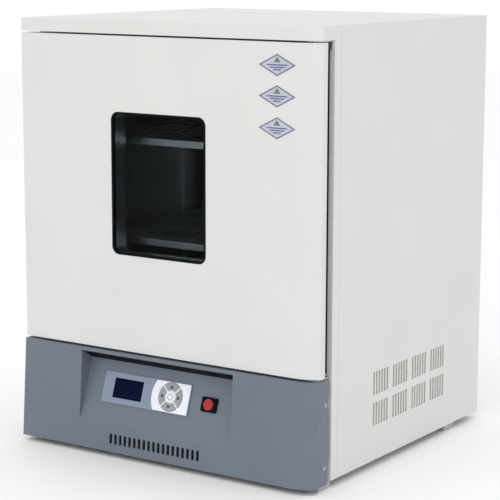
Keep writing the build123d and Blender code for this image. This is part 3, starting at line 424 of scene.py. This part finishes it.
# ---- control face: marks on the keys, the button's ring and the display's cells ------------
FACE_SINK = 0.0002          # the marks start this far inside the face under them
MARK_DEPTH = 0.00035
ARROW = [(0.0032, 0), (-0.0024, 0.0038), (-0.0024, -0.0038)]
ARROW_REACH = 0.70          # share of the way from the centre key to a sector key's far edge
ARROW_TURNS = {"right_key": 0, "up_key": 90, "left_key": 180, "down_key": 270}
KEY_RING = (0.0052, 0.0044)     # outer and inner radius
BUTTON_RING = (0.0060, 0.0050)
BUTTON_RING_DEPTH = 0.0005
CELLS_SHARE = (0.86, 0.74)      # the display's cell area, as shares of its window
CELLS_CORNER = 0.001
CELLS_DEPTH = 0.0003

# the face's outward normal is opposite to the way the keys travel
joints = frame["record"]["behaviour"]["joints"]
press = next(joint for joint in joints if joint["name"] == "centre_key_press")
outward = -Vector(press["axis"]).normalized()
across = Vector((1, 0, 0))
upslope = outward.cross(across)


def on_face(point):
    """A place let into the control face: local X right, local Y up the slope, local Z outward."""
    turn = Matrix((across, upslope, outward)).transposed().to_4x4()
    return Matrix.Translation(point - outward * FACE_SINK) @ turn


def top_of(node):
    """The middle of a node's outer face."""
    obj = nodes[node]
    reach = max((obj.matrix_world @ v.co).dot(outward) for v in obj.data.vertices)
    low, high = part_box(node)
    centre = (Vector(low) + Vector(high)) / 2
    return centre + outward * (reach - centre.dot(outward))


pad_middle = top_of("centre_key")
key_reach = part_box("right_key")[1][0] - pad_middle.x
for name, turn in ARROW_TURNS.items():
    place = on_face(pad_middle) @ Matrix.Rotation(math.radians(turn), 4, "Z")
    bm = bmesh.new()
    add_prism(bm, [(x + key_reach * ARROW_REACH, y) for x, y in ARROW], place, MARK_DEPTH)
    piece(f"{name}_arrow", bm, print_dark, name)
bm = bmesh.new()
add_frame(bm, *(circle_points(radius) for radius in KEY_RING), on_face(pad_middle), MARK_DEPTH)
piece("centre_key_ring", bm, print_dark, "centre_key")

button_place = on_face(top_of("power_button"))
bm = bmesh.new()
add_frame(bm, *(circle_points(radius) for radius in BUTTON_RING), button_place, BUTTON_RING_DEPTH)
piece("power_button_ring", bm, red_cap, "power_button")

low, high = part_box("lcd_window")
cells_w = (high[0] - low[0]) * CELLS_SHARE[0]
cells_h = (high[2] - low[2]) / upslope.z * CELLS_SHARE[1]
cells = rounded_points(cells_w, cells_h, CELLS_CORNER)
bm = bmesh.new()
add_prism(bm, cells, on_face(top_of("lcd_window")), CELLS_DEPTH)
piece("lcd_cells", bm, lcd_cells, "cabinet")

# ---- woven sheets: painted shade behind the panel's front vents, painted light behind the side slots ---
FRONT_SHADE_SHEET_SPARE = 0.026       # how much wider than the control plate
FRONT_SHADE_SHEET_SHIFT = 0.029       # its middle, to the right of the plate's
FRONT_SHADE_SHEET_HEIGHT = 0.026
FRONT_SHADE_SHEET_INSET = 0.0068      # behind the panel's foremost point
FRONT_SHADE_SHEET_RISE = 0.0225       # its middle, above the panel's lower edge
FRONT_SHADE_SHEET_DEPTH = 0.0006
SIDE_LIGHT_SHEET_SIZE = (0.262, 0.106)
SIDE_LIGHT_SHEET_BACK = 0.298         # its middle, behind the front of the front frame
SIDE_LIGHT_SHEET_RISE = 0.1032        # its middle, above the side wall's lower edge
SIDE_LIGHT_SHEET_INSET = 0.0019       # its middle, inside the side wall's outer face
SIDE_LIGHT_SHEET_DEPTH = 0.0004

low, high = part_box("control_panel")
board_low, board_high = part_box("control_plate")
shade_sheet_w = (board_high[0] - board_low[0]) + FRONT_SHADE_SHEET_SPARE
shade_sheet_x = (board_high[0] + board_low[0]) / 2 + FRONT_SHADE_SHEET_SHIFT
place = front_plane(shade_sheet_x, low[1] + FRONT_SHADE_SHEET_INSET, low[2] + FRONT_SHADE_SHEET_RISE)
bm = bmesh.new()
# a near-black sheet behind the front vents: painted shade for the dark inside of the panel
add_prism(bm, bar_points(shade_sheet_w, FRONT_SHADE_SHEET_HEIGHT), place, FRONT_SHADE_SHEET_DEPTH)
piece("front_vent_gauze", bm, painted_vent_shade, "cabinet")

low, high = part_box("cabinet_shell")
slots_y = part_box("front_frame")[0][1] + SIDE_LIGHT_SHEET_BACK
slots_z = low[2] + SIDE_LIGHT_SHEET_RISE
for side_name, middle_x in (
    ("left", low[0] + SIDE_LIGHT_SHEET_INSET),
    ("right", high[0] - SIDE_LIGHT_SHEET_INSET),
):
    # a pale sheet just inside each row of slots: painted light seen through them
    place = side_plane(middle_x - SIDE_LIGHT_SHEET_DEPTH / 2, slots_y, slots_z)
    bm = bmesh.new()
    add_prism(bm, bar_points(*SIDE_LIGHT_SHEET_SIZE), place, SIDE_LIGHT_SHEET_DEPTH)
    piece(f"{side_name}_vent_gauze", bm, painted_slot_light, "cabinet")

# ---- two ribs round the door seal ----------------------------------------------------------
RIB_SHARES = (0.30, 0.62)       # places along the seal's depth
RIB_OVERHANG = 0.003            # how much larger than the seal, over both sides
RIB_CUT = 0.002                 # how much smaller the rib's opening is
RIB_OUTER_CORNER = 0.004
RIB_INNER_CORNER = 0.003
RIB_CORNER_STEPS = 4
RIB_DEPTH = 0.0014

low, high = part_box("door_seal")
seal_w = high[0] - low[0]
seal_h = high[2] - low[2]
seal_x = (low[0] + high[0]) / 2
seal_z = (low[2] + high[2]) / 2
outer = rounded_points(
    seal_w + RIB_OVERHANG, seal_h + RIB_OVERHANG, RIB_OUTER_CORNER, RIB_CORNER_STEPS
)
inner = rounded_points(seal_w - RIB_CUT, seal_h - RIB_CUT, RIB_INNER_CORNER, RIB_CORNER_STEPS)
for i, share in enumerate(RIB_SHARES):
    place = front_plane(seal_x, low[1] + (high[1] - low[1]) * share, seal_z)
    bm = bmesh.new()
    add_frame(bm, outer, inner, place, RIB_DEPTH)
    piece(f"door_seal_rib_{i}", bm, soft_black, "door")

# ---- camera --------------------------------------------------------------------------------
CAMERA_PLACE = Vector((1.6443, -2.4686, 0.8371))
CAMERA_YAW = math.radians(33.87)
CAMERA_DOWN = math.radians(9.92)
CAMERA_ROLL = math.radians(0.13)
LENS_MM = 125.14
SENSOR_MM = 36.0

camera_data = bpy.data.cameras.new("camera")
camera_data.lens = LENS_MM
camera_data.sensor_width = SENSOR_MM
camera_data.dof.use_dof = False
camera = bpy.data.objects.new("camera", camera_data)
aim = Euler((math.pi / 2 - CAMERA_DOWN, 0, CAMERA_YAW)).to_matrix()
aim = aim @ Matrix.Rotation(CAMERA_ROLL, 3, "Z")
camera.matrix_world = Matrix.Translation(CAMERA_PLACE) @ aim.to_4x4()
bpy.context.scene.collection.objects.link(camera)
bpy.context.scene.camera = camera

# ---- floor and light -----------------------------------------------------------------------
FLOOR_RADIUS = 9.0
FLOOR_SIDES = 96
FLOOR_DEPTH = 0.02
LIGHT_SIZE = 2.0
# name, place and power
LIGHTS = (("key_light", (1.3, -3.3, 1.9), 20), ("top_light", (0.2, 0.2, 3.2), 4))

bpy.context.scene.view_settings.view_transform = "Standard"

floor_mat = new_material("studio_floor", (0.97, 0.97, 0.97), 0.7)
tint(floor_mat, noise(floor_mat, 2, 2), (0.965, 0.965, 0.965), (0.975, 0.975, 0.975))
bm = bmesh.new()
floor_outline = circle_points(FLOOR_RADIUS, FLOOR_SIDES)
add_prism(bm, floor_outline, Matrix.Translation((0, 0, -FLOOR_DEPTH)), FLOOR_DEPTH)
floor = mesh_object("studio_floor", bm, floor_mat)
floor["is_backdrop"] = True

world = bpy.data.worlds.new("studio")
world.use_nodes = True
background = world.node_tree.nodes["Background"]
background.inputs["Color"].default_value = (1.0, 1.0, 1.0, 1)
background.inputs["Strength"].default_value = 1.0
bpy.context.scene.world = world

middle = Vector((0, 0, (cad_low[2] + cad_high[2]) / 2))
for name, place, power in LIGHTS:
    data = bpy.data.lights.new(name, "AREA")
    data.shape = "SQUARE"
    data.size = LIGHT_SIZE
    data.energy = power
    lamp = bpy.data.objects.new(name, data)
    lamp.location = place
    lamp.rotation_euler = (middle - Vector(place)).to_track_quat("-Z", "Y").to_euler()
    bpy.context.scene.collection.objects.link(lamp)

low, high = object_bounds()
